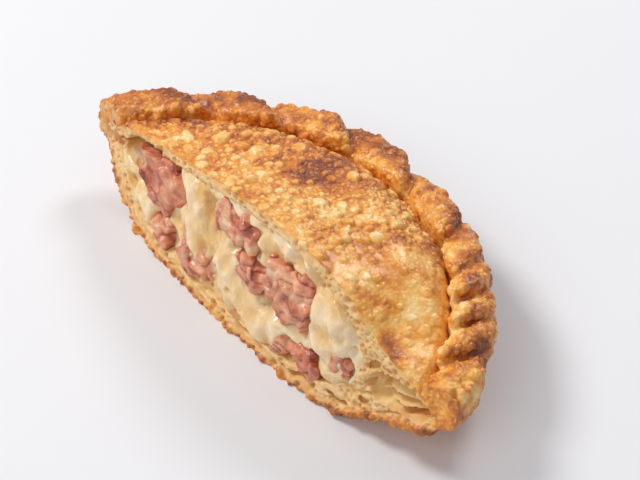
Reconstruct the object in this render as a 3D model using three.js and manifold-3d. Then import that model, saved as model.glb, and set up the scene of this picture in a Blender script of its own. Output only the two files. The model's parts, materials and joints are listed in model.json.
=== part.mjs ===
// Half of a fried empanada, cut across, with melted cheese and cooked ham showing at the cut.
// Millimetres, +Z up. The cut faces -Y, its two ends lie along X, and the piece rests on its flat
// underside at z = 0. The whole pie is a round pillow of dough, puffed above and below its seam,
// with a rope edge of folded dough round it. The cut runs to one side of the pillow's middle.
import * as THREE from "three";
import { mergeVertices } from "three/addons/utils/BufferGeometryUtils.js";
import Module from "manifold-3d";

const wasm = await Module();
wasm.setup();

// The pillow of dough
const pillowRadius = 58.5; // where the puffed dough meets the seam
const seamRadius = 64.5; // outer edge of the flat seam inside the rope
const seamHeight = 15.2; // of the seam's middle above the table
const seamThickness = 4.6;
const topRise = 15; // of the dome above the seam
const bottomDrop = 18; // of the underside below the seam, before the table flattens it
const topDough = 2.8;
const bottomDough = 3.4;
const shoulderRise = 0.34; // share by which the dome is higher along the back of the rope edge
const shoulderRadius = 51;
const endPress = 0.28; // share by which the knife has pressed the +X end of the cut together

// The rope edge
// Each fold: where its middle lies, in degrees round from straight back, and how many degrees of
// the edge it takes up. They are long at the -X end, and most are short at the +X end.
const folds = [
  [-59.5, 19.5], [-42.4, 16.4], [-25.4, 17.6], [-8, 16.8], [9.8, 18.6],
  [25.6, 13], [34.8, 8], [42.2, 7.4], [49.6, 8], [61.5, 18],
];
const foldCircle = 63; // radius of the circle that the folds' middles lie on
const foldLength = [3, 1.12]; // the least, and what is added per millimetre of edge it takes up
const foldWidth = 9.9;
const foldHeight = 9.3;
const foldBlunt = 0.4; // how far a fold is from a plain oval towards a block
const foldSlant = 0.9; // how far its ends slip towards -X per millimetre outwards
const foldRise = 1.2; // of the folds' middles above the seam's
const foldLean = 8; // degrees that a fold rises towards its +X end, which lies over the next
const coreCircle = 62.6; // radius of the roll that the folds lie over
const coreSize = [8.6, 7.6]; // its width and height

// The cut
const cutOffset = 24.7; // from the pillow's middle to the cut
const cutLean = 13; // degrees that the cut leans back from upright
const cutBow = 5.5; // how far the cut's middle stands in front of its ends
const halfChord = Math.sqrt(foldCircle ** 2 - cutOffset ** 2);

// The filling
const pocketLength = 93; // along the cut
const pocketShift = -8.5; // of the pocket's middle along X
const pocketDepth = 25; // back from the line of the cut
const gap = 0.3; // left between neighbouring pieces
const hollowDepth = 6; // of the air space over the filling at its -X end
const cheeseLump = 0.9; // height of the lumps on the cheese's cut face
const hamProud = 0.8; // how far the ham stands in front of the crust's cut
// Each piece of ham: where it shows on the cut, x and z, and its size along X, Y and Z
const hamPieces = [
  { at: [-32, 16], size: [19, 34, 13] },
  { at: [-28.5, 6], size: [9, 22, 4.4] },
  { at: [-15.5, 7.4], size: [12, 26, 6] },
  { at: [-3, 22.5], size: [16, 30, 6.4] },
  { at: [3, 16.2], size: [9, 28, 5.4] },
  { at: [16, 17.6], size: [19, 38, 12.4] },
  { at: [19.5, 6.4], size: [21, 26, 4.6] },
  { at: [33, 12], size: [9, 18, 3.6] },
];

const degrees = THREE.MathUtils.degToRad;
const { smoothstep } = THREE.MathUtils;

// How far a puffed surface stands from the seam, 1 in the middle and 0 at the pillow's edge.
function puff(radius, edge, squareness, steepness) {
  const share = Math.min(radius / edge, 1);
  return (1 - share ** squareness) ** steepness;
}

function topHeight(radius) {
  return seamHeight + seamThickness / 2 + topRise * puff(radius, pillowRadius, 2.2, 0.85);
}

function bottomHeight(radius) {
  const free = seamHeight - seamThickness / 2 - bottomDrop * puff(radius, seamRadius, 3, 1);
  return Math.max(0, free);
}

// Hand-made dough is never even: the dome is fuller towards +X and stands high behind, along the
// rope edge, the +X end of the cut is pressed together, and there are shallow swells.
function settle(geometry) {
  const position = geometry.getAttribute("position");
  const point = new THREE.Vector3();
  for (let i = 0; i < position.count; i += 1) {
    point.fromBufferAttribute(position, i);
    const swell = 0.03 * Math.sin(point.x * 0.085 + 0.6) * Math.cos(point.y * 0.07 - 0.4);
    const above = Math.max(point.z - seamHeight, 0);
    const fuller = 0.1 * Math.sin(THREE.MathUtils.clamp(point.x / halfChord, -1, 1) * Math.PI / 2);
    const radius = Math.hypot(point.x, point.y + cutOffset);
    const high = Math.exp(-(((radius - shoulderRadius) / 6) ** 2)) * smoothstep(point.y, 2, 18);
    const end = smoothstep(point.x, 28, 46) * (1 - smoothstep(point.y, 2, 22));
    const pressed = 1 - endPress * end * (1 - smoothstep(radius, 56, 62));
    const height = point.z * (1 + swell) + above * (fuller + shoulderRise * high);
    position.setZ(i, seamHeight + (height - seamHeight) * pressed);
  }
  return geometry;
}

// A closed three.js shape as a solid that can be joined and cut.
function toSolid(geometry) {
  const bare = geometry.clone();
  bare.deleteAttribute("normal");
  bare.deleteAttribute("uv");
  const merged = mergeVertices(bare, 1e-3);
  return new wasm.Manifold(
    new wasm.Mesh({
      numProp: 3,
      vertProperties: merged.getAttribute("position").array,
      triVerts: merged.index.array,
    }),
  );
}

function toGeometry(solid) {
  const mesh = solid.getMesh();
  const geometry = new THREE.BufferGeometry();
  geometry.setAttribute("position", new THREE.BufferAttribute(mesh.vertProperties, 3));
  geometry.setIndex(new THREE.BufferAttribute(mesh.triVerts, 1));
  geometry.computeVertexNormals();
  return geometry;
}

// A body of revolution from the heights of its underside and top, with its axis at the
// pillow's middle, behind the cut.
function turned(edge, underside, top, rings, sides) {
  const radii = Array.from({ length: rings + 1 }, (_, i) => edge * Math.sin((i / rings) * (Math.PI / 2)));
  const profile = radii.map((radius) => new THREE.Vector2(radius, underside(radius)));
  radii.reverse().forEach((radius) => profile.push(new THREE.Vector2(radius, top(radius))));
  const geometry = new THREE.LatheGeometry(profile, sides);
  geometry.rotateX(Math.PI / 2);
  geometry.translate(0, -cutOffset, 0);
  return geometry;
}

function pillow() {
  return toSolid(settle(turned(seamRadius, bottomHeight, topHeight, 11, 60)));
}

// Brings a unit ball part of the way to a cube, with its sides moved by uneven(point).
function blunted(ball, share, uneven) {
  const position = ball.getAttribute("position");
  const point = new THREE.Vector3();
  for (let i = 0; i < position.count; i += 1) {
    point.fromBufferAttribute(position, i);
    const blunt = 0.5 / Math.max(Math.abs(point.x), Math.abs(point.y), Math.abs(point.z));
    point.multiplyScalar(THREE.MathUtils.lerp(1, blunt, share) * uneven(point));
    position.setXYZ(i, point.x, point.y, point.z);
  }
}

// One fold of the rope: a blunt oval that lies along the edge, with slanting ends.
function ropeFold([middle, span], index) {
  const angle = degrees(middle);
  const length = foldLength[0] + foldLength[1] * degrees(span) * foldCircle;
  const unevenness = 1 + 0.05 * Math.sin(index * 2.4 + 0.5);
  const fold = new THREE.SphereGeometry(0.5, 14, 10);
  blunted(fold, foldBlunt, () => 1);
  fold.rotateZ(Math.PI / 2);
  fold.scale(length, foldWidth * unevenness, foldHeight * unevenness);
  const position = fold.getAttribute("position");
  for (let i = 0; i < position.count; i += 1) {
    const outward = position.getY(i);
    const along = position.getX(i) - foldSlant * outward;
    position.setXY(i, along, outward - along ** 2 / (2 * foldCircle));
  }
  fold.rotateY(degrees(-foldLean));
  fold.rotateZ(-angle);
  fold.translate(
    foldCircle * Math.sin(angle),
    foldCircle * Math.cos(angle) - cutOffset,
    seamHeight + foldRise + 0.5 * Math.sin(index * 1.3),
  );
  return toSolid(settle(fold));
}

// The roll of dough that runs round inside the folds and fills the gaps between them.
function ropeCore() {
  const profile = Array.from({ length: 10 }, (_, i) => {
    const turn = (i / 10) * 2 * Math.PI;
    const radius = coreCircle + 0.5 * coreSize[0] * Math.cos(turn);
    return new THREE.Vector2(radius, seamHeight + foldRise + 0.5 * coreSize[1] * Math.sin(turn));
  });
  profile.push(profile[0].clone());
  const core = new THREE.LatheGeometry(profile, 60);
  core.rotateX(Math.PI / 2);
  core.translate(0, -cutOffset, 0);
  return toSolid(settle(core));
}

// Where the cut lies, for a point along it and its height.
function cutLine(x, z) {
  const bow = -cutBow * (1 - (x / halfChord) ** 2);
  return bow + (z - seamHeight) * Math.tan(degrees(cutLean));
}

// All that the knife takes away: a block whose back face is the cut, moved by shift(x, z).
function knife(shift, facets) {
  const block = new THREE.BoxGeometry(200, 240, 80, facets, 1, Math.ceil(facets * 0.4));
  const position = block.getAttribute("position");
  for (let i = 0; i < position.count; i += 1) {
    if (position.getY(i) > 0) {
      const x = position.getX(i);
      const z = position.getZ(i) + seamHeight;
      position.setY(i, cutLine(x, z) + shift(x, z));
    }
    position.setZ(i, position.getZ(i) + seamHeight);
  }
  return toSolid(block);
}

// The space inside the dough, taken in by inset on every side: an oval in plan, lying between
// the two sheets of dough, and closing in a blunt curve where they come together.
function pocket(inset, sink) {
  const shape = turned(1, () => -1, () => 1, 8, 36);
  const position = shape.getAttribute("position");
  for (let i = 0; i < position.count; i += 1) {
    const across = position.getX(i);
    const along = position.getY(i) + cutOffset;
    const x = across * (pocketLength / 2 - inset) + pocketShift;
    const y = along * (pocketDepth - inset);
    const radius = Math.hypot(x, y + cutOffset);
    const closing = puff(Math.hypot(across, along), 1, 3.4, 0.5);
    const roof = Math.max(topHeight(radius) - topDough - inset - sink(x) - seamHeight, 0);
    const floor = Math.max(seamHeight - bottomHeight(radius) - bottomDough - inset, 0);
    const reach = position.getZ(i) > 0 ? roof : -floor;
    position.setXYZ(i, x, y, seamHeight + reach * closing);
  }
  return toSolid(settle(shape));
}

// The filling has sunk at its -X end, where air is left under the crust.
function hollow(x) {
  return hollowDepth * smoothstep(-x, 32, 48);
}

function lumps(x, z) {
  return cheeseLump * (Math.sin(x * 0.31 + z * 0.22) * Math.cos(z * 0.47 - x * 0.12) - 0.6);
}

// A piece of ham, running back from the cut. It is a rounded block with uneven sides.
function hamBlock({ at, size }, index, grow) {
  const shape = new THREE.SphereGeometry(0.5, 12, 8);
  blunted(shape, 0.3, ({ x, z }) => 1 + 0.1 * Math.sin(x * 5 + index * 2.1) * Math.sin(z * 6 + index));
  shape.scale(size[0] + 2 * grow, size[1] + 2 * grow, size[2] + 2 * grow);
  shape.rotateZ(degrees(8 * Math.sin(index * 2.3)));
  shape.translate(at[0], 0, at[1]);
  return toSolid(settle(shape));
}

function material(colour, roughness) {
  return new THREE.MeshStandardMaterial({ color: colour, roughness, metalness: 0 });
}

function piece(name, solid, finish) {
  const mesh = new THREE.Mesh(toGeometry(solid), finish);
  mesh.name = name;
  return mesh;
}

function crust() {
  let dough = pillow().add(ropeCore());
  folds.forEach((fold, index) => {
    dough = dough.add(ropeFold(fold, index));
  });
  dough = dough.subtract(pocket(0, () => 0)).subtract(knife(() => 0, 24));
  return piece("crust", dough, material("#dfa35c", 0.55));
}

function filling() {
  const space = pocket(gap, hollow);
  const hamSpace = space.subtract(knife(() => -hamProud, 24));
  let cheese = space.subtract(knife(lumps, 40));
  const pieces = [];
  let taken = null;
  hamPieces.forEach((ham, index) => {
    let block = hamSpace.intersect(hamBlock(ham, index, 0));
    if (taken) block = block.subtract(taken);
    cheese = cheese.subtract(hamBlock(ham, index, gap));
    const grown = hamBlock(ham, index, gap);
    taken = taken ? taken.add(grown) : grown;
    pieces.push(piece(`ham_${index + 1}`, block, material("#cf8a70", 0.45)));
  });
  pieces.push(piece("cheese", cheese, material("#e9c88f", 0.35)));
  return pieces;
}

const empanada = new THREE.Group();
empanada.add(crust(), ...filling());

// The origin is under the middle of the piece, on the table.
const extent = new THREE.Box3().setFromObject(empanada);
const middle = extent.getCenter(new THREE.Vector3());
empanada.position.set(-middle.x, -middle.y, -extent.min.z);

export default empanada;
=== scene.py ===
import json
import math

import bpy
import numpy as np
from mathutils import Matrix, Vector
from mathutils.kdtree import KDTree

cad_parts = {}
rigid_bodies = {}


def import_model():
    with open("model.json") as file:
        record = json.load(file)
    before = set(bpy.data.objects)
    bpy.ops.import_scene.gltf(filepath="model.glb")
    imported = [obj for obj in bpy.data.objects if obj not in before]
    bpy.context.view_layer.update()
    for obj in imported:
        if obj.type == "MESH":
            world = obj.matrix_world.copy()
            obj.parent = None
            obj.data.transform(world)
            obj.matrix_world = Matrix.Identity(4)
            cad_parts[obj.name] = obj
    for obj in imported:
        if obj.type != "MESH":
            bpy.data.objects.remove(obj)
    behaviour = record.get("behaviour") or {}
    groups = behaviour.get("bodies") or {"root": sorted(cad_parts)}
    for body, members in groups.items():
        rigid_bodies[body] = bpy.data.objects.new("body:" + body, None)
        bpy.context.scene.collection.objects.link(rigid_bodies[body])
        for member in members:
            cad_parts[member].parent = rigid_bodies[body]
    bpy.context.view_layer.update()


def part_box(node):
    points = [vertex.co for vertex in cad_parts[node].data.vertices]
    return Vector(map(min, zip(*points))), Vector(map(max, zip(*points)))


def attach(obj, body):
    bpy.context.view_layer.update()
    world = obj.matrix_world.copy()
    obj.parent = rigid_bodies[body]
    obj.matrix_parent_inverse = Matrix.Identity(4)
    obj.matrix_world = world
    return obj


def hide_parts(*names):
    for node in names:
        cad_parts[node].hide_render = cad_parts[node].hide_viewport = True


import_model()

mm = 0.001

# The round that this half was cut from, in millimetres. Places are counted from the middle of
# the cut line on the table, which is at "chord"; the round's middle is "offset" in front of it.
pie = {
    "chord": (0.48, -16.87),
    "offset": 24.7,
    "halfChord": 57.96,
    "pillowRadius": 58.5,
    "seamRadius": 64.5,
    "seamHeight": 15.2,
    "seamThickness": 4.6,
    "topRise": 15.0,
    "bottomDrop": 18.0,
    "topDough": 2.8,
    "bottomDough": 3.4,
    "shoulderRise": 0.34,
    "shoulderRadius": 51.0,
    "endPress": 0.28,
    "cutLean": 13.0,
    "cutBow": 5.5,
    "pocketLength": 93.0,
    "pocketShift": -8.5,
    "pocketDepth": 25.0,
    "hollowDepth": 6.0,
}


def unpick():
    if bpy.context.object and bpy.context.object.mode != "OBJECT":
        bpy.ops.object.mode_set(mode="OBJECT")
    bpy.ops.object.select_all(action="DESELECT")


def pick(*objs):
    unpick()
    for obj in objs:
        obj.select_set(True)
    bpy.context.view_layer.objects.active = objs[0]


def newest(name):
    obj = bpy.context.object
    obj.name = name
    obj.data.name = name
    return obj


def settleOrigin(obj):
    pick(obj)
    bpy.ops.object.transform_apply(location=True, rotation=True, scale=True)


def applied(obj, kind, **settings):
    modifier = obj.modifiers.new(kind.title(), kind)
    for key, value in settings.items():
        setattr(modifier, key, value)
    pick(obj)
    bpy.ops.object.modifier_apply(modifier=modifier.name)


def carve(obj, tool):
    applied(obj, "BOOLEAN", operation="DIFFERENCE", object=tool, solver="EXACT")
    bpy.data.objects.remove(tool)


def fuse(objs):
    pick(*objs)
    bpy.ops.object.join()
    return objs[0]


def remesh(obj, size, smoothing=2):
    applied(obj, "REMESH", mode="VOXEL", voxel_size=size * mm, use_smooth_shade=True)
    if smoothing:
        applied(obj, "SMOOTH", factor=0.5, iterations=smoothing)


# Leaves larger faces on the hidden parts of a remeshed piece.
def thinOut(obj, hidden, ratio):
    group = obj.vertex_groups.new(name="hidden")
    group.add(np.flatnonzero(hidden).tolist(), 1.0, "REPLACE")
    applied(obj, "DECIMATE", ratio=ratio, vertex_group=group.name)
    obj.vertex_groups.clear()


# Drops any speck that a remesh left apart from the piece.
def dropSpecks(obj):
    leftmost = int(np.argmin(readPoints(obj)[:, 0]))
    pick(obj)
    bpy.ops.object.mode_set(mode="EDIT")
    bpy.ops.mesh.select_all(action="DESELECT")
    bpy.ops.object.mode_set(mode="OBJECT")
    obj.data.vertices[leftmost].select = True
    bpy.ops.object.mode_set(mode="EDIT")
    bpy.ops.mesh.select_linked()
    bpy.ops.mesh.select_all(action="INVERT")
    bpy.ops.mesh.delete(type="VERT")
    bpy.ops.object.mode_set(mode="OBJECT")


def readPoints(obj):
    flat = np.empty(len(obj.data.vertices) * 3)
    obj.data.vertices.foreach_get("co", flat)
    return flat.reshape(-1, 3) / mm


def readNormals(obj):
    flat = np.empty(len(obj.data.vertices) * 3)
    obj.data.vertices.foreach_get("normal", flat)
    return flat.reshape(-1, 3)


def writePoints(obj, points):
    obj.data.vertices.foreach_set("co", (points * mm).ravel())
    obj.data.update()


def paint(obj, name, values):
    layer = obj.data.attributes.new(name, "FLOAT", "POINT")
    layer.data.foreach_set("value", np.clip(values, 0.0, 1.0).astype(np.float32))


def finishPiece(obj, nodes, material):
    dropSpecks(obj)
    obj.data.transform(Matrix.Translation(Vector((*pie["chord"], 0)) * mm))
    obj.data.materials.clear()
    obj.data.materials.append(material)
    pick(obj)
    bpy.ops.object.shade_smooth()
    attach(obj, "root")
    if nodes:
        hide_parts(*nodes)
    print("made", obj.name, "with", sum(len(p.vertices) - 2 for p in obj.data.polygons), "triangles")


# Fields over space, for unevenness. Each takes points in millimetres and gives about -1 to 1.
def latticeValue(x, y, z, seed):
    mixed = (x * 374761393 + y * 668265263 + z * 1440662683 + seed * 974634777) & 0xFFFFFFFF
    mixed = ((mixed ^ (mixed >> 13)) * 1274126177) & 0xFFFFFFFF
    return ((mixed ^ (mixed >> 16)) & 0xFFFFFF) / 0x7FFFFF - 1.0


latticeTurn = np.array(Matrix.Rotation(0.9, 3, Vector((0.6, 0.5, 0.7)).normalized()))


def softNoise(points, size, seed):
    scaled = points @ latticeTurn / size  # turned, so that no rows line up with the piece
    cell = np.floor(scaled).astype(np.int64)
    part = scaled - cell
    part = part * part * (3 - 2 * part)
    total = np.zeros(len(points))
    for dx in (0, 1):
        wx = part[:, 0] if dx else 1 - part[:, 0]
        for dy in (0, 1):
            wy = part[:, 1] if dy else 1 - part[:, 1]
            for dz in (0, 1):
                wz = part[:, 2] if dz else 1 - part[:, 2]
                corner = latticeValue(cell[:, 0] + dx, cell[:, 1] + dy, cell[:, 2] + dz, seed)
                total += wx * wy * wz * corner
    return total * 1.6


def layeredNoise(points, size, seed, layers=3):
    total = np.zeros(len(points))
    for layer in range(layers):
        total += softNoise(points, size / 2**layer, seed + layer) / 2**layer
    return total / 1.5


# Adds up noises, each given as a share, a size and a seed.
def noiseSum(points, layers):
    return sum(share * softNoise(points, size, seed) for share, size, seed in layers)


def smoothStep(value, low, high):
    share = np.clip((value - low) / (high - low), 0, 1)
    return share * share * (3 - 2 * share)


# The form of the round
def puff(radius, edge, squareness, steepness):
    share = np.minimum(radius / edge, 1)
    return (1 - share**squareness) ** steepness


def topHeight(radius):
    rise = pie["topRise"] * puff(radius, pie["pillowRadius"], 2.2, 0.85)
    return pie["seamHeight"] + pie["seamThickness"] / 2 + rise


def bottomHeight(radius):
    drop = pie["bottomDrop"] * puff(radius, pie["seamRadius"], 3, 1)
    return np.maximum(pie["seamHeight"] - pie["seamThickness"] / 2 - drop, 0)


def settled(points):
    x, y, z = points.T
    swell = 0.03 * np.sin(x * 0.085 + 0.6) * np.cos(y * 0.07 - 0.4)
    fuller = 0.1 * np.sin(np.clip(x / pie["halfChord"], -1, 1) * math.pi / 2)
    above = np.maximum(z - pie["seamHeight"], 0)
    radius = fromMiddle(points)
    high = np.exp(-(((radius - pie["shoulderRadius"]) / 6) ** 2)) * smoothStep(y, 2, 18)
    end = smoothStep(x, 28, 46) * (1 - smoothStep(y, 2, 22)) * (1 - smoothStep(radius, 56, 62))
    height = z * (1 + swell) + above * (fuller + pie["shoulderRise"] * high)
    pressed = 1 - pie["endPress"] * end
    return np.stack([x, y, pie["seamHeight"] + (height - pie["seamHeight"]) * pressed], 1)


def fromMiddle(points):
    return np.hypot(points[:, 0], points[:, 1] + pie["offset"])


def skinHeight(points, height):
    flat = points.copy()
    flat[:, 2] = height(fromMiddle(points))
    return settled(flat)[:, 2]


def cutLine(x, z):
    bow = -pie["cutBow"] * (1 - (x / pie["halfChord"]) ** 2)
    return bow + (z - pie["seamHeight"]) * math.tan(math.radians(pie["cutLean"]))


def behindCut(points):
    return points[:, 1] - cutLine(points[:, 0], points[:, 2])


# Where the filling or the dark hides the inside of the dough. The open ends can be seen into.
def farIn(points):
    openEnd = np.abs(points[:, 0]) > 33
    return behindCut(points) > np.where(openEnd, 11, 1.6)


# The points on the cut itself, as a share
def cutShare(points, normals):
    return smoothStep(-normals[:, 1], 0.45, 0.8) * smoothStep(1.2 - behindCut(points), 0, 0.8)


def spunBody(name, profile, steps=96):
    unpick()
    middle = (0, -pie["offset"] * mm, 0)
    start = (profile[0][0] * mm, middle[1], profile[0][1] * mm)
    bpy.ops.mesh.primitive_plane_add(size=mm, location=start)
    bpy.ops.object.mode_set(mode="EDIT")
    bpy.ops.mesh.select_all(action="SELECT")
    bpy.ops.mesh.merge(type="CENTER")
    for (radiusA, heightA), (radiusB, heightB) in zip(profile, profile[1:]):
        step = ((radiusB - radiusA) * mm, 0, (heightB - heightA) * mm)
        bpy.ops.mesh.extrude_vertices_move(TRANSFORM_OT_translate={"value": step})
    bpy.ops.mesh.select_all(action="SELECT")
    bpy.ops.mesh.spin(steps=steps, angle=2 * math.pi, center=middle, axis=(0, 0, 1))
    bpy.ops.mesh.select_all(action="SELECT")
    bpy.ops.mesh.remove_doubles(threshold=0.01 * mm)
    bpy.ops.mesh.normals_make_consistent(inside=False)
    bpy.ops.object.mode_set(mode="OBJECT")
    obj = newest(name)
    settleOrigin(obj)
    return obj


def knifeTool(shift=0.0):
    unpick()
    bpy.ops.mesh.primitive_cube_add(size=1, location=(0, -0.06, 0.02), scale=(0.2, 0.12, 0.09))
    tool = newest("knife")
    settleOrigin(tool)
    bpy.ops.object.mode_set(mode="EDIT")
    bpy.ops.mesh.select_all(action="SELECT")
    bpy.ops.mesh.subdivide(number_cuts=40)
    bpy.ops.object.mode_set(mode="OBJECT")
    points = readPoints(tool)
    face = points[:, 1] > -0.01
    points[face, 1] = cutLine(points[face, 0], points[face, 2]) + shift
    writePoints(tool, points)
    return tool


def pocketTool(inset, sunken):
    unpick()
    bpy.ops.mesh.primitive_uv_sphere_add(segments=64, ring_count=32, radius=mm)
    tool = newest("pocket")
    unit = readPoints(tool)
    across, along, way = unit.T
    x = across * (pie["pocketLength"] / 2 - inset) + pie["pocketShift"]
    y = along * (pie["pocketDepth"] - inset)
    radius = np.hypot(x, y + pie["offset"])
    blunt = np.where(across > 0, 7.0, 3.4)  # the fuller end closes more abruptly
    closing = puff(np.hypot(across, along), 1, blunt, 0.5)
    sink = pie["hollowDepth"] * smoothStep(-x, 32, 48) if sunken else 0
    seam = pie["seamHeight"]
    roof = np.maximum(topHeight(radius) - pie["topDough"] - inset - sink - seam, 0)
    floor = np.maximum(seam - bottomHeight(radius) - pie["bottomDough"] - inset, 0)
    z = seam + np.where(way > 0, roof, -floor) * closing
    writePoints(tool, settled(np.stack([x, y, z], 1)))
    return tool


# Spots are small swellings or pits, each a place, a radius and a tone of its own.
def nearestSpots(points, weight, wanted, seed):
    chosen = np.flatnonzero(weight > 0.5)
    flat = points[chosen, :2]
    index = [chosen[np.argmin(np.hypot(flat[:, 0] - x, flat[:, 1] - y))] for x, y, size in wanted]
    tones = 0.9 + 0.5 * np.random.default_rng(seed).random(len(wanted))
    return {"places": points[index], "sizes": np.array([size for x, y, size in wanted]), "tones": tones}


def scatterSpots(points, weight, count, radii, crowding, seed, first=None):
    draw = np.random.default_rng(seed)
    candidates = draw.permutation(np.flatnonzero(weight > 0))
    places = first["places"] if first else np.empty((0, 3))
    sizes = first["sizes"] if first else np.empty(0)
    for index in candidates:
        if len(sizes) >= count:
            break
        if draw.random() > weight[index]:
            continue
        small, large = radii
        size = small + (large - small) * draw.random() ** 2.2
        apart = np.linalg.norm(places - points[index], axis=1)
        if len(sizes) and (apart < crowding * (sizes + size)).any():
            continue
        places = np.vstack([places, points[index]])
        sizes = np.append(sizes, size)
    tones = draw.random(len(sizes)) * 2 - 1
    if first:
        tones[: len(first["tones"])] = first["tones"]
    return {"places": places, "sizes": sizes, "tones": tones}


def spotFields(points, spots, seed):
    tree = KDTree(len(points))
    for index, point in enumerate(points):
        tree.insert(point, index)
    tree.balance()
    wobble = 1 + 0.17 * softNoise(points, 1.3, seed)
    dome = np.zeros(len(points))
    height = np.zeros(len(points))
    ring = np.zeros(len(points))
    tone = np.zeros(len(points))
    for place, size, own in zip(spots["places"], spots["sizes"], spots["tones"]):
        near = tree.find_range(place, size * 1.75)
        if not near:
            continue
        index = np.array([hit[1] for hit in near])
        reach = np.array([hit[2] for hit in near]) * wobble[index] / size
        flatness = 2 + 1.6 * max(size - 0.9, 0)
        bump = np.maximum(1 - reach**flatness, 0) ** 1.15
        rim = np.exp(-(((reach - 1.1) / 0.22) ** 2))
        lift = bump * size**0.8
        taller = lift > height[index]
        chosen = index[taller]
        height[chosen] = lift[taller]
        dome[chosen] = bump[taller]
        tone[chosen] = own * smoothStep(bump[taller], 0.05, 0.5)
        ring[index] = np.maximum(ring[index], rim)
    return height, dome, ring * (1 - dome), tone


# Colours are given as 0 to 255, as a colour picker shows them.
def colour(red, green, blue):
    def linear(value):
        share = value / 255
        return share / 12.92 if share <= 0.04045 else ((share + 0.055) / 1.055) ** 2.4

    return (linear(red), linear(green), linear(blue), 1.0)


def link(tree, source, target):
    tree.links.new(source, target)


def addNode(tree, kind, place=(0, 0), **settings):
    node = tree.nodes.new(kind)
    node.location = place
    for key, value in settings.items():
        setattr(node, key, value)
    return node


def mathNode(tree, operation, first, second=None, clamp=False):
    node = addNode(tree, "ShaderNodeMath", operation=operation, use_clamp=clamp)
    for socket, value in zip(node.inputs, (first, second)):
        if value is None:
            continue
        if isinstance(value, (int, float)):
            socket.default_value = value
        else:
            link(tree, value, socket)
    return node.outputs[0]


# A value of 0.5 becomes 0, and what is above or below it is scaled by the amount.
def centred(tree, value, amount):
    return mathNode(tree, "MULTIPLY", mathNode(tree, "SUBTRACT", value, 0.5), amount)


def mixColour(tree, factor, first, second):
    node = addNode(tree, "ShaderNodeMix", data_type="RGBA")
    for socket, value in zip((node.inputs[0], node.inputs[6], node.inputs[7]), (factor, first, second)):
        if isinstance(value, (int, float, tuple)):
            socket.default_value = value
        else:
            link(tree, value, socket)
    return node.outputs[2]


def ramp(tree, factor, stops):
    node = addNode(tree, "ShaderNodeValToRGB")
    node.color_ramp.interpolation = "LINEAR"
    band = node.color_ramp.elements
    while len(band) > 1:
        band.remove(band[-1])
    band[0].position, band[0].color = stops[0]
    for position, value in stops[1:]:
        band.new(position).color = value
    link(tree, factor, node.inputs[0])
    return node.outputs[0]


def attribute(tree, name):
    return addNode(tree, "ShaderNodeAttribute", attribute_name=name).outputs["Fac"]


def noiseNode(tree, vector, scale, detail=3.0, roughness=0.55, distortion=0.0):
    node = addNode(tree, "ShaderNodeTexNoise")
    link(tree, vector, node.inputs["Vector"])
    settings = {"Scale": scale, "Detail": detail, "Roughness": roughness, "Distortion": distortion}
    for key, value in settings.items():
        if isinstance(value, (int, float)):
            node.inputs[key].default_value = value
        else:
            link(tree, value, node.inputs[key])
    return node.outputs["Fac"]


def newGroup(name, inputs, outputs):
    group = bpy.data.node_groups.new(name, "ShaderNodeTree")
    for label, kind, value in inputs:
        socket = group.interface.new_socket(name=label, in_out="INPUT", socket_type=kind)
        if value is not None:
            socket.default_value = value
    for label, kind in outputs:
        group.interface.new_socket(name=label, in_out="OUTPUT", socket_type=kind)
    return group, addNode(group, "NodeGroupInput", (-900, 0)), addNode(group, "NodeGroupOutput", (900, 0))


def placeGroup(tree, group, **values):
    node = addNode(tree, "ShaderNodeGroup", node_tree=group)
    for key, value in values.items():
        if isinstance(value, (int, float, tuple)):
            node.inputs[key].default_value = value
        else:
            link(tree, value, node.inputs[key])
    return node


# Fine grain that every surface shares: two sizes of noise, as a height and as a mottle.
def makeGrainGroup():
    group, start, end = newGroup(
        "surfaceGrain",
        [("Vector", "NodeSocketVector", None), ("Size", "NodeSocketFloat", 900.0)],
        [("Height", "NodeSocketFloat"), ("Mottle", "NodeSocketFloat")],
    )
    fine = noiseNode(group, start.outputs["Vector"], start.outputs["Size"], 4, 0.6)
    broad = mathNode(group, "MULTIPLY", start.outputs["Size"], 0.28)
    coarse = noiseNode(group, start.outputs["Vector"], broad, 3, 0.55)
    fineShare = mathNode(group, "MULTIPLY", fine, 0.6)
    coarseShare = mathNode(group, "MULTIPLY", coarse, 0.4)
    link(group, mathNode(group, "ADD", fineShare, coarseShare), end.inputs["Height"])
    link(group, coarse, end.inputs["Mottle"])
    return group


grainGroup = makeGrainGroup()

# The skin of fried dough, from pale where it was puffed off the oil to dark in the folds. The darker tones
# and the deep crumb tone also carry painted shade in creases, valleys, pores and slits.
friedTones = {
    "pale": colour(252, 220, 158),
    "light": colour(246, 192, 106),
    "gold": colour(238, 164, 68),
    "amber": colour(216, 130, 44),
    "brown": colour(182, 98, 36),
    "dark": colour(132, 64, 22),
    "crumbPale": colour(242, 208, 152),
    "crumbDeep": colour(220, 156, 76),
    "inside": colour(244, 204, 136),
}


def makeSkinGroup():
    group, start, end = newGroup(
        "friedSkin",
        [
            ("Bake", "NodeSocketFloat", 0.4),
            ("Mottle", "NodeSocketFloat", 0.5),
            ("Spread", "NodeSocketFloat", 0.3),
        ],
        [("Color", "NodeSocketColor"), ("Roughness", "NodeSocketFloat")],
    )
    shifted = centred(group, start.outputs["Mottle"], start.outputs["Spread"])
    tone = mathNode(group, "ADD", start.outputs["Bake"], shifted, clamp=True)
    skin = ramp(group, tone, [
        (0.0, friedTones["pale"]),
        (0.22, friedTones["light"]),
        (0.42, friedTones["gold"]),
        (0.6, friedTones["amber"]),
        (0.8, friedTones["brown"]),
        (1.0, friedTones["dark"]),
    ])
    link(group, skin, end.inputs["Color"])
    rough = mathNode(group, "ADD", mathNode(group, "MULTIPLY", tone, 0.12), 0.36)
    link(group, rough, end.inputs["Roughness"])
    return group


skinGroup = makeSkinGroup()


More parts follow.
